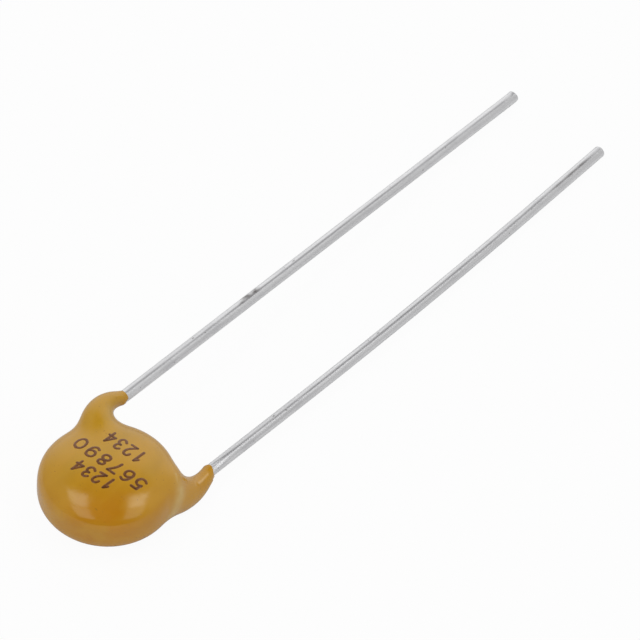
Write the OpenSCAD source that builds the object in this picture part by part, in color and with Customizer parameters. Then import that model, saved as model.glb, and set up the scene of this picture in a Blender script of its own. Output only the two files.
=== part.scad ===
// Radial leaded metal oxide varistor, lying on its rear face with both lead tips on the table.
// The disc's axis is Z and the leads run towards +Y. The front lead, soldered to the upper face,
// is on the -X side, and the rear lead, soldered to the lower face, is on the +X side.

/* [Ceramic disc] */
// Diameter of the sintered disc
disc_d = 5; // [4.6:0.1:5.2]
// Thickness of the sintered disc
disc_t = 1.6; // [1.3:0.05:1.7]

/* [Electrodes] */
// Diameter of the metal film fired on each face
film_d = 4.4; // [3.6:0.1:4.5]
// Thickness of the metal film
film_t = 0.04; // [0.02:0.01:0.06]

/* [Solder] */
// Diameter of the solder mound on each film
solder_d = 3; // [2.4:0.1:3.4]
// Height of the solder mound above the film
solder_h = 0.4; // [0.2:0.05:0.5]

/* [Leads] */
// Diameter of the tinned wire
wire_d = 0.6; // [0.5:0.02:0.62]
// Distance across the part between the leads where they leave the coat
lead_pitch = 5.2; // [5:0.05:5.4]
// Distance through the thickness between the leads where they leave the coat
lead_offset = 1.74; // [1.6:0.02:1.9]
// Thickness of the solder between a wire and its film
wire_seat = 0.02; // [0.01:0.01:0.05]
// How far each wire runs past the middle of its face
wire_tail = 1.1; // [0.6:0.1:1.4]
// Radius of the bend at each elbow, to the middle of the wire
elbow_r = 1.2; // [0.8:0.1:1.4]
// Radius of the small bend where a lead leaves the coat
exit_r = 0.9; // [0.7:0.1:1.2]
// Depth inside the coat of the corner of that small bend
exit_depth = 0.1; // [0.05:0.05:0.3]
// Bevel on the cut end of each wire
tip_bevel = 0.08; // [0.02:0.01:0.12]

/* [Front lead] */
// Height up the part where the front lead leaves the coat
front_exit = 4.15; // [4:0.05:4.4]
// Distance of the front elbow from the part's middle, across
front_elbow_x = 2.95; // [2.8:0.05:3.05]
// Height of the front elbow up the part
front_elbow_y = 3.2; // [3.1:0.05:3.4]
// Length of the front lead outside the coat
front_free = 30.9; // [10:0.1:40]

/* [Rear lead] */
// Height up the part where the rear lead leaves the coat
rear_exit = 4.43; // [4.2:0.05:4.7]
// Distance of the rear elbow from the part's middle, across
rear_elbow_x = 2.9; // [2.8:0.05:3.05]
// Height of the rear elbow up the part
rear_elbow_y = 3; // [2.8:0.05:3.2]
// Length of the rear lead outside the coat
rear_free = 30.35; // [16:0.05:40]
// Angle by which the rear lead first leans outwards
rear_splay = 2.25; // [0:0.25:4]
// Angle through which the rear lead then bows back
rear_bow = 2.6; // [1:0.1:4]
// Straight stretch at each end of the rear lead
rear_straight = 6; // [2:0.5:7]

/* [Coat] */
// Diameter of the coated disc
coat_d = 6.7; // [6.5:0.05:7]
// Thickness of the coated disc
coat_t = 3.46; // [3.4:0.02:3.8]
// Flatness of the coated faces, where 2 is an ellipse
face_power = 3.25; // [2.8:0.05:4]
// Thickness of the coat round a wire where the horn ends
coat_film = 0.05; // [0.04:0.01:0.1]
// Width over which the horns flow into the disc
coat_blend = 0.46; // [0.3:0.02:0.8]

/* [Horns] */
// Thickness of the coat round the wire at a horn's swell
swell_coat = 0.27; // [0.26:0.01:0.4]
// Thickness of the coat round the wire at a horn's root
root_coat = 1; // [0.9:0.02:1.1]
// Depth of the horns' roots towards their own face, from the disc's mid-plane
root_z = 0.26; // [0.2:0.02:0.4]

/* [Front horn] */
// Place of the front horn's root across the part
front_root_x = 1.42; // [1.2:0.05:1.8]
// Place of the front horn's root up the part
front_root_y = 1.37; // [1.2:0.05:1.7]
// How far the front horn's swell leans outwards from the elbow
front_lean = 0.39; // [0.3:0.01:0.5]
// How far the front horn's swell lies below the elbow
front_drop = 1; // [0.8:0.05:1.1]
// How far the front horn's swell stands off its face beyond the elbow
front_rise = 0.37; // [0.3:0.01:0.5]

/* [Rear horn] */
// Place of the rear horn's root across the part
rear_root_x = 2; // [1.8:0.05:2.1]
// Place of the rear horn's root up the part
rear_root_y = 1.49; // [1.3:0.05:1.7]
// How far the rear horn's swell leans outwards from the elbow
rear_lean = 0.09; // [0:0.01:0.2]
// How far the rear horn's swell lies below the elbow
rear_drop = 0.12; // [0:0.02:0.3]
// How far the rear horn's swell stands off its face beyond the elbow
rear_rise = 0.16; // [0.1:0.01:0.3]

/* [Hidden] */

$fn = 48;
front = -1;
rear = 1;
wire_r = wire_d / 2;
// The wire's middle rides this far from the mid-plane while it lies on its film
seat_z = disc_t / 2 + film_t + wire_seat + wire_r;
// Bent wire is swept with flat sides, a hair inside the round wire that it joins
wire_sides = 16;
swept_r = 0.995 * wire_r;
bend_steps = 6;
bow_steps = 10;
// The swept wire runs this far into the round wire, which starts this far outside the coat
lap = 0.3;
bare_from = 0.1;
// Rings of the coat from one horn to the other, and points on each ring
ring_count = 88;
ring_points = 40;
// Stretches of each horn's curved axis, steps of the search along it, and the least bend, as a
// share of a straight axis's, that keeps a step short on the inside of the curve
horn_steps = 6;
ball_steps = 3;
least_bend = 0.3;
// Steps of the searches for the skin, which start clear of the part
walk_steps = 12;
skin_steps = 8;
clear = coat_d + lead_pitch;
// A search towards the line that the rings turn about stops just short of it
short_of_pivot = 0.999;
tiny = 0.001;

function unit(v) = v / norm(v);
function mix(a, b, t) = a + (b - a) * t;
function pick(side, a, b) = side == front ? a : b;

// Layout of each lead, in the disc's own frame with the disc's centre at the origin

function exit_y(side) = pick(side, front_exit, rear_exit);
function exit_point(side) = [side * lead_pitch / 2, exit_y(side), -side * lead_offset / 2];
function elbow(side) = [
    side * pick(side, front_elbow_x, rear_elbow_x),
    pick(side, front_elbow_y, rear_elbow_y),
    -side * seat_z
];

// The rear lead's plan outside the coat is a straight, a bow and a straight
bow_length = rear_free - 2 * rear_straight;
bow_r = bow_length / rear_bow * 180 / PI;
bow_corner = rear_straight + bow_r * tan(rear_bow / 2);
function heading(a, length) = [sin(a) * length, cos(a) * length, 0];
rear_corner = heading(rear_splay, bow_corner);
rear_tip = rear_corner + heading(rear_splay - rear_bow, bow_corner);

// Each lead falls just enough for its tip to lie on the table
function reach(side) = pick(side, front_free, rear_tip.y) - tip_bevel;
function exit_height(side) = coat_t / 2 - side * lead_offset / 2;
function fall(side) =
    asin(exit_height(side) / norm([reach(side), wire_r])) - atan2(wire_r, reach(side));
function fallen(side, p) =
    exit_point(side) + [p.x, p.y * cos(fall(side)), -p.y * sin(fall(side))];

function wire_start(side) =
    let (u = unit([elbow(side).x, elbow(side).y, 0])) [0, 0, -side * seat_z] - wire_tail * u;
function exit_lean(side) = pick(side, 0, rear_splay);
function along_lead(side, length) = fallen(side, heading(exit_lean(side), length));

// Each wire is bent twice, at its elbow and where it leaves the coat, and the rear one bows
function bent_path(side) = [
    wire_start(side), elbow(side), along_lead(side, -exit_depth),
    along_lead(side, bare_from + lap)
];
function after_bow(length) =
    fallen(rear, rear_corner + heading(rear_splay - rear_bow, bow_corner - length));
bow_path = [
    along_lead(rear, rear_straight - lap), fallen(rear, rear_corner),
    after_bow(rear_straight - lap)
];
front_tip = along_lead(front, front_free);

// Depth of the part, which sets its middle on the table
far_y = max(front_tip.y, after_bow(0).y);
middle_y = (far_y - coat_d / 2) / 2;

module laid() {
    translate([0, -middle_y, coat_t / 2]) children();
}

// Middle line of a wire, as points each with the wire's direction there
function way(path, i) = unit(path[i + 1] - path[i]);
function bend_line(path, i, radius, steps) =
    let (
        a = way(path, i - 1),
        b = way(path, i),
        turn = acos(a * b),
        inward = unit(b - a * cos(turn)),
        first = path[i] - a * radius * tan(turn / 2)
    )
    [
        for (k = [0:steps])
            let (t = turn * k / steps)
            [
                first + radius * (a * sin(t) + inward * (1 - cos(t))),
                a * cos(t) + inward * sin(t)
            ]
    ];
function bent_line(path) = concat(
    [[path[0], way(path, 0)]],
    bend_line(path, 1, elbow_r, bend_steps),
    bend_line(path, 2, exit_r, bend_steps),
    [[path[3], way(path, 2)]]
);
function bow_line(path) = concat(
    [[path[0], way(path, 0)]], bend_line(path, 1, bow_r, bow_steps), [[path[2], way(path, 1)]]
);

function across(d) = unit(cross(d, [0, 0, 1]));
function wire_ring(p, d) = [
    for (j = [0:wire_sides - 1])
        let (a = 360 * j / wire_sides)
        p + swept_r * (cos(a) * across(d) + sin(a) * cross(d, across(d)))
];

// Rings of points joined into one closed skin, each point to its like on the next ring
module ringed(rings) {
    count = len(rings);
    size = len(rings[0]);
    function at(i, j) = i * size + j % size;
    points = [for (r = rings) each r];
    sides = [
        for (i = [0:count - 2], j = [0:size - 1])
            each [
                [at(i, j), at(i + 1, j), at(i + 1, j + 1)],
                [at(i, j), at(i + 1, j + 1), at(i, j + 1)]
            ]
    ];
    first = [for (j = [0:size - 1]) at(0, j)];
    last = [for (j = [size - 1:-1:0]) at(count - 1, j)];
    polyhedron(points, concat(sides, [first], [last]), convexity = 6);
}

module swept(line) {
    ringed([for (s = line) wire_ring(s[0], s[1])]);
}

// Round straight wire from one point to another, with a bevel at its far end
module straight(from, to, bevel = 0) {
    length = norm(to - from);
    z = unit(to - from);
    x = across(z);
    y = cross(z, x);
    multmatrix([
        [x.x, y.x, z.x, from.x], [x.y, y.y, z.y, from.y], [x.z, y.z, z.z, from.z],
        [0, 0, 0, 1]
    ])
        if (bevel > 0)
            rotate_extrude()
                polygon([
                    [0, 0], [wire_r, 0], [wire_r, length - bevel],
                    [wire_r - bevel, length], [0, length]
                ]);
        else
            cylinder(h = length, r = wire_r);
}

// The part of a wire that the coat and the solder hold
module bent_wire(side) swept(bent_line(bent_path(side)));

module front_wire() {
    bent_wire(front);
    straight(along_lead(front, bare_from), front_tip, tip_bevel);
}

module rear_wire() {
    bent_wire(rear);
    straight(along_lead(rear, bare_from), along_lead(rear, rear_straight));
    swept(bow_line(bow_path));
    straight(after_bow(rear_straight), after_bow(0), tip_bevel);
}

// Turns what stands on the front face over to the given face
module on_face(side) {
    rotate([0, side == front ? 0 : 180, 0]) translate([0, 0, disc_t / 2]) children();
}

module disc() cylinder(h = disc_t, d = disc_d, center = true);

module film(side) on_face(side) cylinder(h = film_t, d = film_d);

// A shallow dome of solder, before the wire takes its place in it
module dome(side) {
    dome_r = (solder_h * solder_h + solder_d * solder_d / 4) / (2 * solder_h);
    on_face(side)
        translate([0, 0, film_t])
            intersection() {
                translate([0, 0, solder_h - dome_r]) sphere(r = dome_r, $fn = 96);
                cylinder(h = solder_h, d = solder_d + wire_d);
            }
}

module solder(side) {
    difference() {
        dome(side);
        bent_wire(side);
    }
}

// The coat's form: a lens over the disc and a tapering horn over each wire, flowing together

function lens_gap(p) =
    let (
        rim = norm([p.x, p.y]) / (coat_d / 2),
        face = abs(p.z) / (coat_t / 2),
        size = pow(rim * rim + pow(face, face_power), 2 / (2 + face_power))
    )
    norm(p) * (1 - 1 / max(size, tiny));

// Axis of a horn, from its root in the disc through its swell to the exit
function horn_root(side) = [
    side * pick(side, front_root_x, rear_root_x),
    pick(side, front_root_y, rear_root_y),
    -side * root_z
];
function horn_swell(side) =
    elbow(side) + [
        side * pick(side, front_lean, rear_lean),
        -pick(side, front_drop, rear_drop),
        -side * pick(side, front_rise, rear_rise)
    ];
function curve(a, b, c, t) = mix(mix(a, b, t), mix(b, c, t), t);
function horn_axis(side) = [horn_root(side), horn_swell(side), exit_point(side)];
front_axis = horn_axis(front);
rear_axis = horn_axis(rear);
function axis_at(h, t) = curve(h[0], h[1], h[2], t);
function axis_way(h, t) = 2 * mix(h[1] - h[0], h[2] - h[1], t);
function axis_curl(h) = 2 * (h[0] - 2 * h[1] + h[2]);
function horn_r(t) = wire_r + curve(root_coat, swell_coat, coat_film, t);
function horn_taper(t) = 2 * mix(swell_coat - root_coat, coat_film - swell_coat, t);

// A horn is the room swept by a ball that shrinks along the axis. Its distance from a point is
// that of the nearest ball, which is looked for from the nearest of a few places on the axis.
function ball_gap(p, h, t) = norm(p - axis_at(h, t)) - horn_r(t);
function nearest_ball(p, h, t, n) =
    n == 0 ? t
    : let (
        w = p - axis_at(h, t),
        v = axis_way(h, t),
        away = max(norm(w), tiny),
        slope = -(w * v) / away - horn_taper(t),
        bend = max(v * v - w * axis_curl(h), least_bend * v * v) / away
    )
    nearest_ball(p, h, max(0, min(1, t - slope / bend)), n - 1);
function horn_gap(p, h) =
    let (
        gaps = [for (i = [0:horn_steps]) ball_gap(p, h, i / horn_steps)],
        start = search(min(gaps), gaps)[0] / horn_steps
    )
    ball_gap(p, h, nearest_ball(p, h, start, ball_steps));
function flow(a, b) =
    let (h = max(0, min(1, 0.5 + 0.5 * (b - a) / coat_blend)))
    mix(b, a, h) - coat_blend * h * (1 - h);

// Distance from a point to the coat's skin, negative inside
function gap(p) =
    flow(flow(lens_gap(p), horn_gap(p, front_axis)), horn_gap(p, rear_axis));

// The skin is laid in rings. Each ring lies in an upright half-plane that turns about a line
// between the horns, from the rear lead's exit, round the disc, to the front lead's exit.

pivot_y = (front_exit + rear_exit) / 2;
function exit_turn(side) = atan2(exit_y(side) - pivot_y, side * lead_pitch / 2);
fan_from = exit_turn(rear) + 360;
fan_to = (exit_turn(front) + 360) % 360;

// Nears the skin along a line by steps that can't overshoot it
function walk(p, d, t, way, n) = n == 0 ? t : walk(p, d, t + way * gap(p + t * d), way, n - 1);

// Finds the skin between two places on a line, a inside it and b outside, by false position
function skin(p, d, a, fa, b, fb, n) =
    let (t = (a * fb - b * fa) / (fb - fa), f = n == 0 ? 0 : gap(p + t * d))
    n == 0 ? t
    : f < 0 ? skin(p, d, t, f, b, fb / 2, n - 1)
    : skin(p, d, a, fa / 2, t, f, n - 1);

function ring(i) =
    let (
        a = mix(fan_from, fan_to, i / ring_count),
        out = [cos(a), sin(a), 0],
        up = [0, 0, 1],
        pivot = [0, pivot_y, lead_offset / 2 * (270 - a) / 90],
        near = walk(pivot, out, 0, 1, walk_steps),
        far = walk(pivot, out, clear, -1, walk_steps),
        hub_r = (near + far) / 2,
        hub = pivot + hub_r * out,
        tall = walk(hub, up, coat_t, -1, walk_steps)
    )
    [
        for (j = [0:ring_points - 1])
            let (
                s = 360 * j / ring_points,
                d = unit((far - hub_r) * cos(s) * out + tall * sin(s) * up),
                inward = -(d * out),
                b = inward > 0 ? min(clear, short_of_pivot * hub_r / inward) : clear
            )
            hub + d * skin(hub, d, 0, gap(hub), b, gap(hub + b * d), skin_steps)
    ];

module coat_skin() ringed([for (i = [0:ring_count]) ring(i)]);

module coating() {
    color([0.72, 0.5, 0.15]) laid()
        difference() {
            coat_skin();
            disc();
            film(front);
            film(rear);
            dome(front);
            dome(rear);
            bent_wire(front);
            bent_wire(rear);
        }
}

module ceramic_disc() {
    color([0.23, 0.24, 0.26]) laid() disc();
}

module front_electrode() {
    color([0.86, 0.86, 0.84]) laid() film(front);
}

module rear_electrode() {
    color([0.86, 0.86, 0.84]) laid() film(rear);
}

module front_solder() {
    color([0.62, 0.62, 0.63]) laid() solder(front);
}

module rear_solder() {
    color([0.62, 0.62, 0.63]) laid() solder(rear);
}

module front_lead() {
    color([0.76, 0.76, 0.77]) laid() front_wire();
}

module rear_lead() {
    color([0.76, 0.76, 0.77]) laid() rear_wire();
}

coating();
ceramic_disc();
front_electrode();
rear_electrode();
front_solder();
rear_solder();
front_lead();
rear_lead();
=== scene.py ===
"""Looks of the radial leaded metal oxide varistor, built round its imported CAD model."""
import math

import bpy
import numpy as np
from mathutils import Matrix, Vector, noise
from mathutils.bvhtree import BVHTree


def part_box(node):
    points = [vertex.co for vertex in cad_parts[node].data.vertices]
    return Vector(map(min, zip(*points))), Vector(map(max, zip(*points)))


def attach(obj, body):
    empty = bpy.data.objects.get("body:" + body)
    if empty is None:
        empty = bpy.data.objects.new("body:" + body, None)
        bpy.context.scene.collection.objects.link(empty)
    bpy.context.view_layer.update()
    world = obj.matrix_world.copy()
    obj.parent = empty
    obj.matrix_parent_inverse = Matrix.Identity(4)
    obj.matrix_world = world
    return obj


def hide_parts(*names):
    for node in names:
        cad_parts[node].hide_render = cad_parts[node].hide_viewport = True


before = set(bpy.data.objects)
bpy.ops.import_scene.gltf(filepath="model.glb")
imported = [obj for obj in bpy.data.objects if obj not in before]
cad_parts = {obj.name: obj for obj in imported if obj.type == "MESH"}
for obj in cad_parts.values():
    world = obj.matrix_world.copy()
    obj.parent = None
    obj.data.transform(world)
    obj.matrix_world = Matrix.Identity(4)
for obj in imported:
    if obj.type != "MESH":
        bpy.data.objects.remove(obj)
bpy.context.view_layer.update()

MM = 0.001
BODY = "root"
UP = np.array([0.0, 0.0, 1.0])
SAME_POINT = 1e-7  # in metres
TINY = 1e-30  # stands in for a length of nothing in a division

# The camera, fitted to the photograph.

IMAGE = 640  # pixels each way
FOCAL = 6063.8  # in pixels
DISTANCE = 288.43 * MM  # to the disc's centre
AZIMUTH, ELEVATION, ROLL = 36.38, 46.66, 3.97
DISC_AT = (107.2, 484.63)  # the pixel where the disc's centre shows
SENSOR = 36  # in millimetres

disc_lo, disc_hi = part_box("ceramic_disc")
disc_at = np.array((disc_lo + disc_hi) / 2)


def camera_axes():
    """Right, up and back of the camera, as rows."""
    a, e, r = (math.radians(x) for x in (AZIMUTH, ELEVATION, ROLL))
    right = np.array([math.cos(a), math.sin(a), 0.0])
    ahead = np.array([-math.sin(a) * math.cos(e), math.cos(a) * math.cos(e), -math.sin(e)])
    up = np.cross(right, ahead)
    return np.array([
        math.cos(r) * right + math.sin(r) * up,
        -math.sin(r) * right + math.cos(r) * up,
        -ahead,
    ])


def through(u, v):
    """A pixel's direction in the camera, at depth 1."""
    return np.array([(u - IMAGE / 2) / FOCAL, (IMAGE / 2 - v) / FOCAL, -1.0])


def linked(name, data):
    """A new object in the scene."""
    obj = bpy.data.objects.new(name, data)
    bpy.context.scene.collection.objects.link(obj)
    return obj


AXES = camera_axes()
camera_at = disc_at - AXES.T @ (through(*DISC_AT) * DISTANCE)

camera = linked("camera", bpy.data.cameras.new("camera"))
camera.data.sensor_width = SENSOR
camera.data.lens = FOCAL / IMAGE * SENSOR
camera.data.clip_start = 0.005
camera.data.clip_end = 20
camera.matrix_world = Matrix.Translation(Vector(camera_at)) @ Matrix(AXES.T.tolist()).to_4x4()
bpy.context.scene.camera = camera
bpy.context.scene.view_settings.view_transform = "Standard"


# Meshes as arrays: points as rows of co, triangles as rows of three point numbers.

def unit(v):
    return v / np.linalg.norm(v)


def unit_rows(rows):
    return rows / np.maximum(np.linalg.norm(rows, axis=1), TINY)[:, None]


def eased(share):
    """A share from 0 to 1 with a soft start and a soft end."""
    t = np.clip(share, 0, 1)
    return t * t * (3 - 2 * t)


def bell(distance, width):
    """1 at no distance, falling off over the width."""
    return np.exp(-distance ** 2 / 2 / width ** 2)


def run_lengths(points):
    """How far along a run of points each one is."""
    return np.concatenate([[0], np.cumsum(np.linalg.norm(np.diff(points, axis=0), axis=1))])


def points_at(places, points):
    """The points this far along a run of points."""
    length = run_lengths(points)
    return np.stack([np.interp(places, length, column) for column in points.T], 1)


def area_vectors(co, tri):
    """Twice each triangle's area, as a vector that points outwards."""
    return np.cross(co[tri[:, 1]] - co[tri[:, 0]], co[tri[:, 2]] - co[tri[:, 0]])


def point_normals(co, tri):
    """Outward direction at each point, from the triangles round it."""
    areas = area_vectors(co, tri)
    total = np.zeros_like(co)
    for k in range(3):
        np.add.at(total, tri[:, k], areas)
    return unit_rows(total)


def packed(name):
    """Points and triangles of a CAD node, with the points that coincide joined."""
    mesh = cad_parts[name].data
    co = np.zeros(len(mesh.vertices) * 3)
    mesh.vertices.foreach_get("co", co)
    co = co.reshape(-1, 3)
    mesh.calc_loop_triangles()
    tri = np.zeros(len(mesh.loop_triangles) * 3, int)
    mesh.loop_triangles.foreach_get("vertices", tri)
    _, first, index = np.unique(
        np.round(co / SAME_POINT).astype(np.int64), axis=0,
        return_index=True, return_inverse=True)
    tri = index.reshape(-1)[tri.reshape(-1, 3)]
    whole = (tri[:, 0] != tri[:, 1]) & (tri[:, 1] != tri[:, 2]) & (tri[:, 2] != tri[:, 0])
    return co[first], tri[whole]


def edge_table(tri):
    """Edges, the edge of each triangle's side, and for each edge its two faces, the two points
    across from it, and whether it has just those two faces."""
    half = np.concatenate([tri[:, [0, 1]], tri[:, [1, 2]], tri[:, [2, 0]]])
    across = np.concatenate([tri[:, 2], tri[:, 0], tri[:, 1]])
    face = np.tile(np.arange(len(tri)), 3)
    edges, index, count = np.unique(
        np.sort(half, axis=1), axis=0, return_inverse=True, return_counts=True)
    index = index.reshape(-1)
    order = np.argsort(index, kind="stable")
    starts = np.concatenate([[0], np.cumsum(count)[:-1]])
    one, two = order[starts], order[np.minimum(starts + 1, len(order) - 1)]
    return edges, index, face[one], face[two], across[one], across[two], count == 2


SHARP = math.cos(math.radians(40))


def refine(co, tri, keep_points):
    """Splits every triangle in four. Sharp edges stay. Elsewhere the new points bulge out to the
    curved surface, and unless keep_points the old ones are eased too, which leaves no facets."""
    edges, index, f1, f2, o1, o2, paired = edge_table(tri)
    normal = unit_rows(area_vectors(co, tri))
    sharp = ~paired | ((normal[f1] * normal[f2]).sum(1) < SHARP)
    a, b = edges.T
    middle = (co[a] + co[b]) / 2
    if keep_points:
        outward = point_normals(co, tri)
        on_edge = np.zeros(len(co), bool)
        on_edge[edges[sharp]] = True

        def drop(p):
            """How far each middle lies below the surface's plane at an end of its edge."""
            lift = ((middle - co[p]) * outward[p]).sum(1)[:, None] * outward[p]
            return np.where(on_edge[p][:, None], 0, lift)

        new = middle - (drop(a) + drop(b)) / 4
        old = co
    else:
        new = middle * 0.75 + (co[o1] + co[o2]) / 8
        count = np.zeros(len(co))
        total = np.zeros_like(co)
        for p, q in ((a, b), (b, a)):
            np.add.at(count, p, 1)
            np.add.at(total, p, co[q])
        # each neighbour's weight in a smooth surface of triangles
        weight = np.where(count > 3, 3 / (8 * np.maximum(count, 1)), 3 / 16)[:, None]
        old = (1 - count[:, None] * weight) * co + weight * total
        held = np.unique(edges[sharp])
        old[held] = co[held]
    new[sharp] = middle[sharp]
    ab, bc, ca = index.reshape(3, -1) + len(co)
    p, q, r = tri.T
    split = np.concatenate([
        np.stack([p, ab, ca], 1), np.stack([ab, q, bc], 1),
        np.stack([ca, bc, r], 1), np.stack([ab, bc, ca], 1),
    ])
    return np.concatenate([old, new]), split


def number_tuples(faces):
    return [tuple(int(i) for i in face) for face in faces]


def piece(name, co, faces, material, smooth_angle):
    """A closed mesh object that rides on the part."""
    mesh = bpy.data.meshes.new(name)
    mesh.from_pydata([tuple(p) for p in co], [], number_tuples(faces))
    mesh.update()
    mesh.shade_smooth()
    mesh.set_sharp_from_angle(angle=math.radians(smooth_angle))
    mesh.materials.append(material)
    obj = linked(name, mesh)
    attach(obj, BODY)
    return obj


def store(obj, name, values):
    """Keeps a number or a vector for each point of a piece."""
    values = np.array(values, np.float32)
    kind, field = ("FLOAT", "value") if values.ndim == 1 else ("FLOAT_VECTOR", "vector")
    obj.data.attributes.new(name, kind, "POINT").data.foreach_set(field, values.reshape(-1))


# Materials.

def tree_of(owner):
    """The emptied node tree of a material or a world."""
    owner.use_nodes = True
    owner.node_tree.nodes.clear()
    return owner.node_tree


def node(tree, kind, **values):
    """A new node. Each value is a setting of it, or an input with _ for the spaces."""
    made = tree.nodes.new(kind)
    for key, value in values.items():
        if hasattr(made, key):
            setattr(made, key, value)
        else:
            made.inputs[key.replace("_", " ")].default_value = value
    return made


def feed(tree, value, socket):
    """Links an input to another node's output, or sets it to a constant."""
    if isinstance(value, bpy.types.NodeSocket):
        tree.links.new(value, socket)
    else:
        socket.default_value = (*value, 1) if socket.type == "RGBA" else value


def maths(tree, operation, *values):
    """A sum on one or two numbers or outputs."""
    made = node(tree, "ShaderNodeMath", operation=operation)
    for value, socket in zip(values, made.inputs):
        feed(tree, value, socket)
    return made.outputs[0]


def dot(tree, vector, way):
    """How far a vector reaches in a constant direction."""
    made = node(tree, "ShaderNodeVectorMath", operation="DOT_PRODUCT")
    tree.links.new(vector, made.inputs[0])
    made.inputs[1].default_value = way
    return made.outputs["Value"]


def z_of(tree, vector):
    made = node(tree, "ShaderNodeSeparateXYZ")
    tree.links.new(vector, made.inputs[0])
    return made.outputs["Z"]


def soft_range(tree, value, low, high):
    """0 up to the low value and 1 from the high one, eased in between."""
    made = node(tree, "ShaderNodeMapRange", interpolation_type="SMOOTHSTEP",
                From_Min=low, From_Max=high)
    tree.links.new(value, made.inputs["Value"])
    return made.outputs["Result"]


def stretched(tree, place, scale):
    made = node(tree, "ShaderNodeMapping", vector_type="POINT", Scale=scale)
    tree.links.new(place, made.inputs["Vector"])
    return made.outputs["Vector"]


def stored(tree, name, output="Fac"):
    """What a piece keeps for its points."""
    return node(tree, "ShaderNodeAttribute", attribute_name=name).outputs[output]


def ramp(tree, source, *stops):
    """A colour ramp over a value: stops are (place, grey or colour)."""
    made = node(tree, "ShaderNodeValToRGB")
    tree.links.new(source, made.inputs["Fac"])
    band = made.color_ramp
    for element, (place, colour) in zip(band.elements, stops):
        element.position = place
        element.color = (*(colour if hasattr(colour, "__len__") else (colour,) * 3), 1)
    return made.outputs["Color"]


def mixed(tree, factor, a, b):
    """Colour a where the factor is 0, b where it is 1."""
    made = node(tree, "ShaderNodeMix", data_type="RGBA", clamp_factor=True)
    a_in, b_in = (socket for socket in made.inputs if socket.type == "RGBA")
    for value, socket in ((factor, made.inputs[0]), (a, a_in), (b, b_in)):
        feed(tree, value, socket)
    return next(socket for socket in made.outputs if socket.type == "RGBA")


def cloud(tree, place, scale, detail, rough):
    """Soft noise, its scale in waves to the metre."""
    made = node(tree, "ShaderNodeTexNoise", Scale=scale, Detail=detail, Roughness=rough)
    tree.links.new(place, made.inputs["Vector"])
    return made.outputs["Fac"]


def bumped(tree, height, depth, before=None):
    """A bump of the given depth in metres, on top of the one before it."""
    made = node(tree, "ShaderNodeBump", Strength=1.0, Distance=depth)
    tree.links.new(height, made.inputs["Height"])
    if before is not None:
        tree.links.new(before, made.inputs["Normal"])
    return made.outputs["Normal"]


def surface(name, colour, roughness, normal=None, **constants):
    """A material whose colour, roughness and normal are made by functions of its tree."""
    material = bpy.data.materials.new(name)
    tree = tree_of(material)
    shader = node(tree, "ShaderNodeBsdfPrincipled", **constants)
    for key, made in (("Base Color", colour), ("Roughness", roughness), ("Normal", normal)):
        if made is not None:
            tree.links.new(made(tree), shader.inputs[key])
    output = node(tree, "ShaderNodeOutputMaterial")
    tree.links.new(shader.outputs["BSDF"], output.inputs["Surface"])
    return material


def spot(tree):
    """Place on the part, in metres."""
    return node(tree, "ShaderNodeTexCoord").outputs["Object"]


def clouded(scale, detail, rough, low, high):
    """A function that makes soft clouds between two greys or colours."""
    return lambda tree: ramp(
        tree, cloud(tree, spot(tree), scale, detail, rough), (0.3, low), (0.7, high))


# between these heights comes in the painted sheen that colours the lacquer's upper face paler
SHEEN_HEIGHTS = (2.3 * MM, 3.4 * MM)  # between these heights the lacquer turns paler
THIN = (0.53, 0.270, 0.017)
# the whitish colour of the painted highlight in the rear horn's crease
CREASE_HIGHLIGHT = (0.585, 0.400, 0.130)
# the colour of the painted highlight along the rear horn's ridge
RIDGE_HIGHLIGHT = (0.66, 0.40, 0.14)
SPECK = (0.32, 0.145, 0.013)


def lacquer_colour(tree):
    at = spot(tree)
    # the coat is coloured paler and yellower on its upper face, a painted sheen for the bright wall
    # it mirrors there, and a deeper orange round its low front
    broad = cloud(tree, at, 420, 3, 0.55)
    deep = ramp(tree, broad, (0.35, (0.476, 0.192, 0.0060)), (0.65, (0.508, 0.214, 0.0080)))
    flank = ramp(tree, broad, (0.35, (0.478, 0.221, 0.0066)), (0.65, (0.512, 0.246, 0.0088)))
    pale = ramp(tree, cloud(tree, at, 600, 3, 0.55),
                (0.35, (0.465, 0.244, 0.0105)), (0.65, (0.502, 0.274, 0.015)))
    top = soft_range(tree, z_of(tree, at), *SHEEN_HEIGHTS)
    wash = mixed(tree, stored(tree, "deep_front"), mixed(tree, top, flank, pale), deep)
    # it ran a little along the leads' direction
    streaks = cloud(tree, stretched(tree, at, (1.0, 0.25, 1.0)), 900, 2, 0.5)
    veiled = mixed(tree, ramp(tree, streaks, (0.40, 0.0), (0.75, 1.0)), wash, THIN)
    patchy = ramp(tree, cloud(tree, at, 2500, 2, 0.5), (0.3, 0.6), (0.7, 0.85))
    # a painted highlight: the whitish band in the rear horn's crease
    crease_lit = mixed(tree, maths(tree, "MULTIPLY", stored(tree, "painted_crease_highlight"), patchy), veiled, CREASE_HIGHLIGHT)
    # a painted highlight along the ridge on the rear horn
    ridge_gleam = ramp(tree, stored(tree, "from_ridge"), (0.0, 0.9), (0.09, 0.0))
    ridge_lit = mixed(tree, ridge_gleam, crease_lit, RIDGE_HIGHLIGHT)
    specks = ramp(tree, cloud(tree, at, 9000, 0, 0.5), (0.165, 0.7), (0.195, 0.0))
    return mixed(tree, specks, ridge_lit, SPECK)


def lacquer_normal(tree):
    at = spot(tree)
    peel = bumped(tree, cloud(tree, at, 1700, 1, 0.4), 3.5e-6)
    return bumped(tree, cloud(tree, at, 9000, 1, 0.5), 0.35e-6, peel)


WIRE_R = 0.3 * MM
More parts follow.
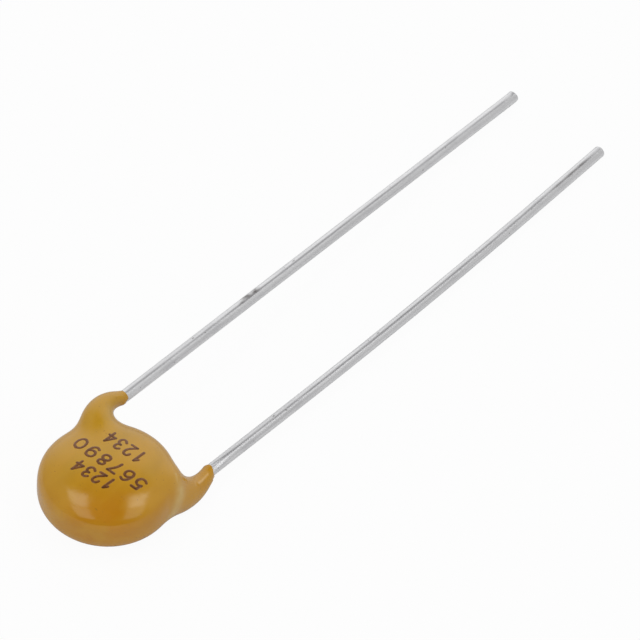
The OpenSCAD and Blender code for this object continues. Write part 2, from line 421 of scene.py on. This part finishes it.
# a painted reflection: a darker line along each lead's upper side, for the dark surroundings it
# mirrors; the die line named below is this painted line, and it fades in from the tip
DARK_REFLECTION_SIDE = 257  # its side, in degrees round the wire
DARK_REFLECTION_FADE = (0.5 * MM, 1.3 * MM)  # how far from the tip the die line begins, and is whole
DULL = (0.66, 0.66, 0.68)
NICKED = (0.24, 0.235, 0.23)
DARK_REFLECTION = (0.45, 0.445, 0.46)
SOILED = (0.15, 0.135, 0.13)


def wire_at(tree):
    """Place across a lead and, as Z, along it from its tip, in metres."""
    return stored(tree, "wire_at", "Vector")


def wire_cloud(tree, along, scale, detail, rough):
    """Noise round and along a lead, drawn out along it."""
    return cloud(tree, stretched(tree, wire_at(tree), (1.0, 1.0, along)), scale, detail, rough)


def off_dark_reflection(tree):
    """How far round a lead a place is from its painted dark reflection line, as a share of the
    wire's radius.
    """
    across, facing = (
        dot(tree, wire_at(tree), (math.cos(angle) / WIRE_R, math.sin(angle) / WIRE_R, 0))
        for angle in (math.radians(DARK_REFLECTION_SIDE + 90), math.radians(DARK_REFLECTION_SIDE)))
    # the wire's other side counts as one radius further off
    other_side = maths(tree, "LESS_THAN", facing, 0.0)
    return maths(tree, "ADD", maths(tree, "ABSOLUTE", across), other_side)


def wire_colour(tree):
    drawn = ramp(tree, wire_cloud(tree, 0.02, 9000, 3, 0.6),
                 (0.32, (0.74, 0.74, 0.75)), (0.62, (0.86, 0.86, 0.87)))
    dull = ramp(tree, wire_cloud(tree, 0.5, 1300, 3, 0.6), (0.52, 0.0), (0.72, 0.55))
    nick = ramp(tree, wire_cloud(tree, 0.55, 5200, 1, 0.5), (0.205, 0.8), (0.240, 0.0))
    scored = mixed(tree, nick, mixed(tree, dull, drawn, DULL), NICKED)
    # a painted reflection: the darker line along the upper side, where the wire mirrors the dark
    # surroundings, darker in some places than in others and faded out near the tip
    line = ramp(tree, off_dark_reflection(tree), (0.05, 1.0), (0.22, 0.0))
    patchy = ramp(tree, wire_cloud(tree, 0.12, 2600, 2, 0.6), (0.30, 0.30), (0.62, 0.85))
    kept = soft_range(tree, z_of(tree, wire_at(tree)), *DARK_REFLECTION_FADE)
    shown = maths(tree, "MULTIPLY", line, maths(tree, "MULTIPLY", patchy, kept))
    reflection_lined = mixed(tree, shown, scored, DARK_REFLECTION)
    mottle = ramp(tree, wire_cloud(tree, 0.6, 4200, 2, 0.5), (0.33, 0.45), (0.52, 1.0))
    return mixed(tree, maths(tree, "MULTIPLY", stored(tree, "soiled"), mottle), reflection_lined, SOILED)


def wire_roughness(tree):
    return ramp(tree, wire_cloud(tree, 0.06, 5000, 3, 0.6), (0.3, 0.36), (0.7, 0.50))


def wire_normal(tree):
    lines = bumped(tree, wire_cloud(tree, 0.012, 14000, 2, 0.6), 3.0e-6)
    return bumped(tree, wire_cloud(tree, 0.08, 3500, 2, 0.5), 2.0e-6, lines)


def grain(tree):
    return bumped(tree, cloud(tree, spot(tree), 9000, 3, 0.6), 3e-6)


satin = clouded(4000, 2, 0.5, 0.35, 0.5)
matt = clouded(4000, 2, 0.5, 0.65, 0.85)

lacquer = surface("lacquer", lacquer_colour, clouded(1500, 3, 0.6, 0.13, 0.21), lacquer_normal,
                  IOR=1.58, Specular_Tint=(1.0, 1.0, 0.84, 1.0))
ink = surface("ink", clouded(6000, 2, 0.6, (0.12, 0.040, 0.008), (0.20, 0.070, 0.011)),
              clouded(4000, 1, 0.5, 0.2, 0.3), IOR=1.5)
tinned = surface("tinned_wire", wire_colour, wire_roughness, wire_normal, Metallic=1.0)
solder = surface("solder", clouded(3000, 3, 0.6, (0.48, 0.48, 0.49), (0.60, 0.60, 0.61)),
                 satin, grain, Metallic=1.0)
film_metal = surface("film_metal", clouded(6000, 3, 0.6, (0.72, 0.72, 0.70), (0.84, 0.84, 0.82)),
                     matt, grain, Metallic=1.0)
oxide = surface("sintered_oxide",
                clouded(9000, 4, 0.65, (0.035, 0.04, 0.045), (0.07, 0.075, 0.08)), matt, grain)

for name, material in (
        ("ceramic_disc", oxide), ("front_electrode", film_metal), ("rear_electrode", film_metal),
        ("front_solder", solder), ("rear_solder", solder)):
    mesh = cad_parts[name].data
    mesh.materials.clear()
    mesh.materials.append(material)


# The leads.

STEP = 0.1 * MM  # along the middle line
MOST_STEPS = 2000
FEWEST_CUTS = 6  # edges that a plane across the wire has to cut
ROUND_WIRE = 3 * WIRE_R  # what is this near the middle line belongs to the same stretch
TIP_ZONE = 0.03 * MM
EASINGS = 4
WIRE_SIDES = 36
RING_GAP = 0.15 * MM
CUT_ROUND = 0.05 * MM  # rounding of the sheared ends
END_RINGS = np.array([0.0, 0.12, 0.35, 0.7, 1.0]) * CUT_ROUND  # its rings, from the end inwards
CAP_RINGS = (0.33, 0.66)  # rings that close an end, as shares of its radius


def crossing(co, edges, at, way):
    """Middle of what a plane across the wire cuts, or None past its end."""
    side = (co - at) @ way
    a, b = edges[side[edges[:, 0]] * side[edges[:, 1]] < 0].T
    t = (side[a] / (side[a] - side[b]))[:, None]
    found = co[a] + t * (co[b] - co[a]) - at
    found = found[np.linalg.norm(found, axis=1) < ROUND_WIRE]
    if len(found) < FEWEST_CUTS:
        return None
    x = unit(np.cross(way, UP))
    y = np.cross(x, way)
    u, v = found @ x, found @ y
    return at + x * (u.min() + u.max()) / 2 + y * (v.min() + v.max()) / 2


def middle_line(name):
    """A lead's middle line from its tip to its tail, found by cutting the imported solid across."""
    co, tri = packed(name)
    edges = edge_table(tri)[0]
    way = np.array([0.0, -1.0, 0.0])
    line = [co[co[:, 1] > co[:, 1].max() - TIP_ZONE].mean(0)]
    for _ in range(MOST_STEPS):
        found = crossing(co, edges, line[-1] + way * STEP, way)
        if found is None:
            break
        line.append(found)
        way = unit(found - line[-2])
    # the tail's end, at least a little further on
    near = co[np.linalg.norm(co - line[-1], axis=1) < ROUND_WIRE]
    line.append(line[-1] + way * max(((near - line[-1]) @ way).max(), 0.1 * STEP))
    line = np.array(line)
    for _ in range(EASINGS):
        line[1:-1] = line[1:-1] / 2 + (line[:-2] + line[2:]) / 4
    return line


def carried_axes(line):
    """Two axes across the line at each point, carried along it without twist."""
    ways = unit_rows(np.gradient(line, axis=0))
    x = unit(np.cross(ways[0], UP))
    axes = []
    for way in ways:
        x = unit(x - (x @ way) * way)
        axes.append((x, np.cross(way, x)))
    return axes


def blob(spots, phi, s):
    """Depth at a place on a lead of its spots, each (distance from the tip, side, width, length,
    depth)."""
    total = 0.0
    for place, side, width, long, depth in spots:
        off = math.remainder(phi - math.radians(side), 2 * math.pi) / width
        total += depth * math.exp(-off * off - ((s - place * MM) / (long * MM)) ** 2)
    return total


def lead(name, line, nicks, smudges):
    """A finer copy of a lead: rounded sheared ends, small nicks and smudges."""
    full = run_lengths(line)[-1]
    inner = np.arange(2 * CUT_ROUND, full - CUT_ROUND, RING_GAP)
    places = np.concatenate([END_RINGS, inner, full - END_RINGS[::-1]])
    middle = points_at(places, line)
    axes = carried_axes(middle)
    rings = [(0, share) for share in CAP_RINGS]
    rings += [(i, 1.0) for i in range(len(places))]
    rings += [(len(places) - 1, share) for share in CAP_RINGS[::-1]]
    points, at, soil = [middle[0]], [(0.0, 0.0, 0.0)], [0.0]
    for i, share in rings:
        s = places[i]
        x, y = axes[i]
        inset = max(0.0, CUT_ROUND - min(s, full - s))
        rounded = WIRE_R - CUT_ROUND + math.sqrt(CUT_ROUND ** 2 - inset ** 2)
        for phi in np.arange(WIRE_SIDES) * 2 * math.pi / WIRE_SIDES:
            c, d = math.cos(phi) * share, math.sin(phi) * share
            points.append(middle[i] + (rounded - blob(nicks, phi, s) * MM) * (c * x + d * y))
            at.append((c * WIRE_R, d * WIRE_R, s))
            soil.append(min(blob(smudges, phi, s), 1.0))
    last = len(points)
    points.append(middle[-1])
    at.append((0.0, 0.0, full))
    soil.append(0.0)
    faces = []
    for j in range(WIRE_SIDES):
        k = (j + 1) % WIRE_SIDES
        faces.append((0, 1 + k, 1 + j))
        for a in range(1, last - WIRE_SIDES, WIRE_SIDES):
            b = a + WIRE_SIDES
            faces.append((a + j, a + k, b + k, b + j))
        faces.append((last - WIRE_SIDES + j, last - WIRE_SIDES + k, last))
    obj = piece(name + "_wire", points, faces, tinned, smooth_angle=50)
    store(obj, "wire_at", at)
    store(obj, "soiled", soil)
    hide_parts(name)


front_line = middle_line("front_lead")
rear_line = middle_line("rear_lead")
# each nick: distance from the tip, side in degrees, width in radians, length and depth in mm
FRONT_NICKS = [(11.6, 230, 0.5, 0.25, 0.012), (22.5, 210, 0.3, 0.15, 0.01)]
REAR_NICKS = [(0.9, 215, 0.4, 0.5, 0.015), (6.5, 280, 0.3, 0.2, 0.01),
              (17.0, 240, 0.3, 0.12, 0.01), (30.1, 245, 0.6, 0.75, 0.08)]
# each smudge the same way, with its strength last
FRONT_SMUDGES = [(20.9, 280, 0.42, 0.26, 1.3), (21.5, 280, 0.48, 0.24, 1.3),
                 (22.0, 262, 0.25, 0.20, 0.6)]
REAR_SMUDGES = [(1.7, 260, 0.26, 0.45, 0.6), (2.6, 260, 0.26, 0.35, 0.6),
                (3.6, 259, 0.22, 0.5, 0.4)]
lead("front_lead", front_line, FRONT_NICKS, FRONT_SMUDGES)
lead("rear_lead", rear_line, REAR_NICKS, REAR_SMUDGES)


# The coat.

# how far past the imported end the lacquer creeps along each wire, in mm, by the angle round it
# (0 is towards +X, 90 is up)
FRONT_LIP = {180: 0.03, 150: 0.05, 115: 0.10, 90: 0.11, 71: 0.09, 40: 0.05, 18: 0.04, 8: -0.11,
             -5: -0.21, -30: -0.04, -70: -0.04, -120: 0.0}
REAR_LIP = {180: 0.02, 150: 0.04, 130: 0.09, 108: 0.2, 80: 0.16, 55: 0.08, 34: 0.03, 0: 0.03,
            -26: 0.06, -60: 0.0, -120: 0.0}
# the coat's greatest thickness over the wire, in mm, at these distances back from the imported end,
# again by the angle
BACKS = (0.0, 0.2, 0.5, 0.8, 1.15)
FREE = 9.0  # no limit
FRONT_SKIN = {151: (0.025, 0.10, 0.24, 0.36, FREE), 61: (0.02, 0.05, 0.13, 0.28, FREE),
              15: (0.022, 0.03, 0.08, 0.22, FREE), -29: (0.012, 0.010, 0.06, 0.26, FREE),
              -60: (0.016, 0.025, 0.10, 0.30, FREE), -119: (0.02, 0.06, 0.16, 0.32, FREE)}
REAR_SKIN = {180: (0.016, 0.12, FREE, FREE, FREE), 60: (0.018, 0.12, FREE, FREE, FREE),
             0: (0.03, 0.12, FREE, FREE, FREE), -28: (0.06, 0.14, FREE, FREE, FREE),
             -60: (0.03, 0.12, FREE, FREE, FREE), -120: (0.016, 0.12, FREE, FREE, FREE)}
# radii round the wire: the coat's bore lies within the first and stays as it is, lacquer within
# the second hugs the wire, and past the third it is free of it
BORE, HUGS, FLARED = 1.02 * WIRE_R, 1.2 * WIRE_R, 2.2 * WIRE_R
MET = 1.25 * WIRE_R  # the wire meets the coat where a point of the coat is this near
START_STEPS = 6  # of the middle line, that give the wire's direction there
LIP_REACH = 1.5 * MM  # from there, either way
CREEP_REACH = 0.6 * MM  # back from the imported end
RAGGED, RAGGED_WAVES, RAGGED_SEED = 0.03 * MM, 2.2, 500
WAVE, WAVES = 0.008 * MM, 900  # the lacquer's unevenness, and its waves to the metre


def round_table(table, angle):
    """A table's value at an angle, going round."""
    keys = sorted(table)
    return np.interp(angle, keys, [table[k] for k in keys], period=360)


def lip(co, line, creeps, skin):
    """Draws the coat's end out along the wire to a thin, ragged edge."""
    meets = next(k for k, p in enumerate(line) if np.linalg.norm(co - p, axis=1).min() < MET)
    at = line[meets]
    way = unit(line[meets - START_STEPS] - at)
    x = unit(np.cross(way, UP))
    z = np.cross(x, way)
    along = (co - at) @ way
    flat = co - at - along[:, None] * way
    far = np.linalg.norm(flat, axis=1)
    close = (far < FLARED) & (np.abs(along) < LIP_REACH)
    along, flat, far = along[close], flat[close], far[close]
    back = along[far < HUGS].max() - along
    turn = np.arctan2(flat @ z, flat @ x)
    angle = np.degrees(turn)
    ragged = np.array([
        noise.noise(Vector((
            math.cos(a) * RAGGED_WAVES, math.sin(a) * RAGGED_WAVES, at[0] * RAGGED_SEED)))
        for a in turn])
    creep = round_table(creeps, angle) * MM + RAGGED * ragged
    along = along + eased(1 - back / CREEP_REACH) * creep
    limits = np.array([
        round_table({key: row[i] for key, row in skin.items()}, angle)
        for i in range(len(BACKS))])
    limit = np.array([np.interp(b, BACKS, row) for b, row in zip(back / MM, limits.T)]) * MM
    # the limit lets go by degrees where the coat flares away from the wire
    hold = (1 - eased((far - HUGS) / (FLARED - HUGS))) * (far > BORE)
    radius = far - hold * np.maximum(far - WIRE_R - limit, 0)
    drawn = co.copy()
    drawn[close] = at + along[:, None] * way + radius[:, None] * unit_rows(flat)
    return drawn


def tree_over(co, tri):
    return BVHTree.FromPolygons([Vector(p) for p in co], number_tuples(tri))


def seen_at(tree, pixel):
    """Place on the coat that the camera sees at a pixel."""
    way = unit(AXES.T @ through(*pixel))
    return np.array(tree.ray_cast(Vector(camera_at), Vector(way))[0])


def from_path(co, path):
    """Distance of each point from a run of straight stretches."""
    best = np.full(len(co), np.inf)
    for a, b in zip(path[:-1], path[1:]):
        ab = b - a
        t = np.clip((co - a) @ ab / (ab @ ab), 0, 1)
        best = np.minimum(best, np.linalg.norm(co - a - t[:, None] * ab, axis=1))
    return best


coat_co, coat_tri = packed("coating")
coat_co, coat_tri = refine(coat_co, coat_tri, keep_points=True)
coat_co, coat_tri = refine(coat_co, coat_tri, keep_points=False)
coat_co = lip(coat_co, front_line, FRONT_LIP, FRONT_SKIN)
coat_co = lip(coat_co, rear_line, REAR_LIP, REAR_SKIN)
coat_out = point_normals(coat_co, coat_tri)
wave = np.array([noise.noise(Vector(p) * WAVES) for p in coat_co])
coat_co = coat_co + coat_out * (wave * WAVE)[:, None]

# the ridge that the wire raises along the rear horn, with a painted highlight on it, and a painted
# highlight, a whitish band, in the crease where that horn leaves the disc, as runs of the
# photograph's pixels
RIDGE = [(198.6, 483.4), (201.6, 481.0), (204.4, 477.9), (207.4, 474.6)]
RIDGE_RISE, RIDGE_WIDTH = 0.03 * MM, 0.09 * MM
RIDGE_NEAR = 0.5 * MM  # distances from the ridge are kept up to here
CREASE = [(180.6, 489.5), (181.2, 493.7), (179.6, 499.4), (177.6, 505.2), (175.3, 510.9),
          (172.6, 515.2)]
CREASE_WIDTH = 0.25 * MM
CREASE_TOP = [(176.2, 474.6), (177.4, 482.0), (180.6, 489.5)]
CREASE_TOP_WIDTH, CREASE_TOP_SHARE = 0.06 * MM, 0.6
# where the lacquer is coloured a deeper orange, round its low front, the same way
DEEP_FRONT_AT, DEEP_FRONT_WIDTH = (110.0, 520.0), 1.5 * MM

plain_tree = tree_over(coat_co, coat_tri)
from_ridge, from_crease, from_top = (
    from_path(coat_co, np.array([seen_at(plain_tree, pixel) for pixel in path]))
    for path in (RIDGE, CREASE, CREASE_TOP))
coat_co = coat_co + coat_out * (RIDGE_RISE * bell(from_ridge, RIDGE_WIDTH))[:, None]
from_deep_front = np.linalg.norm(coat_co - seen_at(plain_tree, DEEP_FRONT_AT), axis=1)

coat = piece("coat", coat_co, coat_tri, lacquer, smooth_angle=50)
# where the painted highlight in the crease lies
store(coat, "painted_crease_highlight", np.maximum(bell(from_crease, CREASE_WIDTH),
                                 CREASE_TOP_SHARE * bell(from_top, CREASE_TOP_WIDTH)))
# the deeper orange round the low front
store(coat, "deep_front", bell(from_deep_front, DEEP_FRONT_WIDTH))
store(coat, "from_ridge", np.minimum(from_ridge, RIDGE_NEAR) / MM)
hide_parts("coating")
coat_tree = tree_over(coat_co, coat_tri)


# The marking.

# rows of plain counting numerals where the photograph shows three rows of print: the first and
# last numeral's middle in the photograph's pixels, and one numeral's height there as a vector
ROWS = [("1234", (108.5, 483.7), (78.5, 465.8)),
        ("567890", (139.1, 483.7), (81.0, 443.5)),
        ("1234", (139.1, 456.9), (111.0, 437.8))]
TALL = np.array([-10.4, 7.4])
WIDE = 0.62  # of the spacing
STROKE = 0.078 * MM  # half the pen's width
RAISED = 0.006 * MM
# the stroke's section: shares of its half width to the side, and of its height
SECTION = ((-1.0, -0.5), (-0.82, 1.0), (0.0, 1.0), (0.82, 1.0), (1.0, -0.5),
           (1.0, -3.0), (-1.0, -3.0))
# its rounded ends: how far out each section is, as a share of the half width, and how much of
# that width it keeps
LEAST_KEPT = 0.02  # squared
ENDS = [(out, math.sqrt(max(1 - out ** 2, LEAST_KEPT))) for out in (1.0, 0.9, 0.6, 0.25)]
CURVE_STEPS = 12  # between two points of a numeral
PEN_STEP = 0.05  # in shares of a numeral's height
FEWEST_STOPS = 4  # of the pen along a stroke

# each numeral's strokes, in shares of its width and height
NUMERALS = {
    "0": [[(0.5, 1), (0.15, 0.85), (0.02, 0.5), (0.15, 0.15), (0.5, 0), (0.85, 0.15),
           (0.98, 0.5), (0.85, 0.85), (0.5, 1)]],
    "1": [[(0.2, 0.76), (0.55, 1)], [(0.55, 1), (0.55, 0)]],
    "2": [[(0.06, 0.76), (0.2, 0.95), (0.5, 1), (0.82, 0.92), (0.92, 0.7), (0.75, 0.42),
           (0.05, 0)], [(0.05, 0), (0.95, 0)]],
    "3": [[(0.08, 0.86), (0.4, 1), (0.78, 0.93), (0.85, 0.72), (0.66, 0.56), (0.4, 0.53)],
          [(0.4, 0.53), (0.78, 0.47), (0.95, 0.26), (0.78, 0.05), (0.4, 0), (0.04, 0.14)]],
    "4": [[(0.72, 0), (0.72, 1)], [(0.72, 1), (0.02, 0.32)], [(0.02, 0.32), (1, 0.32)]],
    "5": [[(0.88, 1), (0.2, 1)], [(0.2, 1), (0.12, 0.56)],
          [(0.12, 0.56), (0.5, 0.64), (0.85, 0.52), (0.94, 0.3), (0.78, 0.06), (0.4, 0),
           (0.04, 0.12)]],
    "6": [[(0.84, 0.92), (0.5, 1), (0.16, 0.8), (0.04, 0.4), (0.16, 0.08), (0.5, 0),
           (0.86, 0.1), (0.96, 0.34), (0.8, 0.56), (0.45, 0.6), (0.1, 0.45)]],
    "7": [[(0.04, 1), (0.96, 1)], [(0.96, 1), (0.5, 0.45), (0.36, 0)]],
    "8": [[(0.5, 1), (0.18, 0.9), (0.14, 0.7), (0.5, 0.54), (0.9, 0.36), (0.86, 0.1), (0.5, 0),
           (0.14, 0.1), (0.1, 0.36), (0.5, 0.54), (0.86, 0.7), (0.82, 0.9), (0.5, 1)]],
    "9": [[(0.16, 0.08), (0.5, 0), (0.84, 0.2), (0.96, 0.6), (0.84, 0.92), (0.5, 1),
           (0.14, 0.9), (0.04, 0.66), (0.2, 0.44), (0.55, 0.4), (0.9, 0.55)]],
}


def smooth_stroke(points):
    """An even run of points along a rounded stroke."""
    run = np.array(points, float)
    if len(run) > 2:
        padded = np.vstack([2 * run[0] - run[1], run, 2 * run[-1] - run[-2]])
        curve = []
        for a, b, c, d in zip(padded, padded[1:], padded[2:], padded[3:]):
            for t in np.linspace(0, 1, CURVE_STEPS, endpoint=False):
                curve.append(0.5 * (2 * b + (c - a) * t + (2 * a - 5 * b + 4 * c - d) * t ** 2
                                    + (3 * b - a - 3 * c + d) * t ** 3))
        run = np.array(curve + [run[-1]])
    length = run_lengths(run)[-1]
    return points_at(np.linspace(0, length, max(FEWEST_STOPS, int(length / PEN_STEP))), run)


def nearest(at):
    """The coat's nearest place and its outward direction."""
    place, normal = coat_tree.find_nearest(Vector(at))[:2]
    return np.array(place), np.array(normal)


def pen(points, faces, pixels):
    """One pen stroke laid on the coat, closed, with rounded ends."""
    run = np.array([seen_at(coat_tree, pixel) for pixel in pixels])
    length = run_lengths(run)
    places = np.linspace(0, length[-1], len(run))
    ahead = np.clip(np.searchsorted(length, places), 1, len(run) - 1)
    first, last = unit(run[1] - run[0]), unit(run[-1] - run[-2])
    stops = [(run[0] - first * out * STROKE, first, wide) for out, wide in ENDS]
    stops += [(at, unit(run[i] - run[i - 1]), 1.0) for at, i in zip(points_at(places, run), ahead)]
    stops += [(run[-1] + last * out * STROKE, last, wide) for out, wide in ENDS[::-1]]
    start = len(points)
    for at, way, wide in stops:
        side = unit(np.cross(nearest(at)[1], way))
        for share, lift in SECTION:
            place, normal = nearest(at + side * share * wide * STROKE)
            points.append(place + normal * lift * RAISED)
    n = len(SECTION)
    end = len(points) - n
    for a in range(start, end, n):
        for j in range(n):
            k = (j + 1) % n
            faces.append((a + j, a + n + j, a + n + k, a + k))
    faces.append(range(start, start + n))
    faces.append(range(end + n - 1, end - 1, -1))


ink_points, ink_faces = [], []
for text, first, last in ROWS:
    step = (np.array(last) - np.array(first)) / (len(text) - 1)
    for i, mark in enumerate(text):
        for stroke in NUMERALS[mark]:
            laid = smooth_stroke(stroke) - 0.5
            pen(ink_points, ink_faces,
                np.array(first) + step * i + laid[:, :1] * WIDE * step + laid[:, 1:] * TALL)
piece("marking", ink_points, ink_faces, ink, smooth_angle=60)


# The stage.

FLOOR = 1.5  # from the middle to each side, in metres
FLOOR_GREY = 0.7
# how much of the floor each kind of ray sees as plain white
FLOOR_WHITE = {"Is Camera Ray": 0.95, "Is Glossy Ray": 0.1, "Is Transmission Ray": 0.1}
LAMP_DISTANCE = 0.45
# patches of the surroundings: azimuth, elevation, and how far from there each one ends and is
# whole, in degrees
WALL = (-31, 3, 61, 29)  # behind the part
SIDE = (34, 14, 46, 16)  # to the wall's right
CAMERA_SIDE = (137, 34, 62, 32)
OVERHEAD = (46, 66)  # elevations at which it begins and is whole
# their greys where the coat and the wires mirror them, and those of the soft fill that lights
# matt colour
AROUND_GREY, WALL_GREY, SIDE_GREY, OVERHEAD_GREY, CAMERA_GREY = 0.40, 1.06, 0.58, 0.02, 0.0
FILL_GREY, WALL_FILL_GREY = 0.61, 0.74


def grey(value):
    return (value, value, value)


def pale_floor():
    """The floor's material: matt, and by a share for each kind of ray plain white."""
    material = bpy.data.materials.new("pale_floor")
    tree = tree_of(material)
    matt_grey = node(tree, "ShaderNodeBsdfDiffuse", Color=(*grey(FLOOR_GREY), 1))
    glow = node(tree, "ShaderNodeEmission", Color=(1, 1, 1, 1), Strength=1.0)
    path = node(tree, "ShaderNodeLightPath").outputs
    shown = 0.0
    for ray, share in FLOOR_WHITE.items():
        shown = maths(tree, "MAXIMUM", shown, maths(tree, "MULTIPLY", path[ray], share))
    mix = node(tree, "ShaderNodeMixShader")
    for output, socket in zip((shown, matt_grey.outputs[0], glow.outputs[0]), mix.inputs):
        tree.links.new(output, socket)
    tree.links.new(mix.outputs[0], node(tree, "ShaderNodeOutputMaterial").inputs["Surface"])
    return material


floor_mesh = bpy.data.meshes.new("floor")
floor_mesh.from_pydata(
    [(-FLOOR, -FLOOR, 0), (FLOOR, -FLOOR, 0), (FLOOR, FLOOR, 0), (-FLOOR, FLOOR, 0)],
    [], [(0, 1, 2, 3)])
floor_mesh.materials.append(pale_floor())
floor = linked("floor", floor_mesh)


def heading(azimuth, elevation):
    """A direction: azimuth from +Y towards +X, and elevation, in degrees."""
    a, e = math.radians(azimuth), math.radians(elevation)
    return Vector((math.sin(a) * math.cos(e), math.cos(a) * math.cos(e), math.sin(e)))


def softbox(name, azimuth, elevation, lean, length, width, radiance):
    """A lamp that faces the disc. Its length and width are for a distance of 1, and its length
    leans by that many degrees from level."""
    light = bpy.data.lights.new(name, "AREA")
    light.shape = "RECTANGLE"
    light.size, light.size_y = length * LAMP_DISTANCE, width * LAMP_DISTANCE
    light.energy = math.pi * radiance * light.size * light.size_y
    obj = linked(name, light)
    back = heading(azimuth, elevation)
    level = Vector(UP).cross(back).normalized()
    x = Matrix.Rotation(math.radians(lean), 3, back) @ level
    turned = Matrix((x, back.cross(x), back)).transposed().to_4x4()
    obj.matrix_world = Matrix.Translation(Vector(disc_at) + back * LAMP_DISTANCE) @ turned
    obj.visible_camera = False


softbox("left_softbox_top", -127.6, 65.7, -11.8, 0.45, 0.34, 2.3)
softbox("left_softbox_foot", -177.6, 44.0, -55.5, 0.69, 0.43, 1.3)
softbox("right_softbox_top", 48.1, 62.8, 12.4, 0.39, 0.30, 2.6)
softbox("right_softbox_foot", 90.2, 43.0, 55.8, 0.75, 0.39, 1.0)


def studio():
    """The world: white to the camera, a surround for what is mirrored, and a soft fill."""
    world = bpy.data.worlds.new("studio")
    tree = tree_of(world)
    look = node(tree, "ShaderNodeTexCoord").outputs["Generated"]

    def near(azimuth, elevation, ends, whole):
        """1 within one angle of a direction, 0 beyond the other."""
        angles = (math.cos(math.radians(ends)), math.cos(math.radians(whole)))
        return soft_range(tree, dot(tree, look, heading(azimuth, elevation)), *angles)

    wall = near(*WALL)
    overhead = soft_range(tree, z_of(tree, look), *(math.sin(math.radians(e)) for e in OVERHEAD))
    mirrored = mixed(tree, near(*SIDE), grey(AROUND_GREY), grey(SIDE_GREY))
    mirrored = mixed(tree, wall, mirrored, grey(WALL_GREY))
    mirrored = mixed(tree, overhead, mirrored, grey(OVERHEAD_GREY))
    mirrored = mixed(tree, near(*CAMERA_SIDE), mirrored, grey(CAMERA_GREY))
    fill = mixed(tree, wall, grey(FILL_GREY), grey(WALL_FILL_GREY))
    path = node(tree, "ShaderNodeLightPath").outputs
    bent = maths(tree, "MAXIMUM", path["Is Glossy Ray"], path["Is Transmission Ray"])
    colour = mixed(tree, path["Is Camera Ray"], mixed(tree, bent, fill, mirrored), grey(1.0))
    background = node(tree, "ShaderNodeBackground")
    tree.links.new(colour, background.inputs["Color"])
    tree.links.new(background.outputs[0], node(tree, "ShaderNodeOutputWorld").inputs["Surface"])
    return world


bpy.context.scene.world = studio()
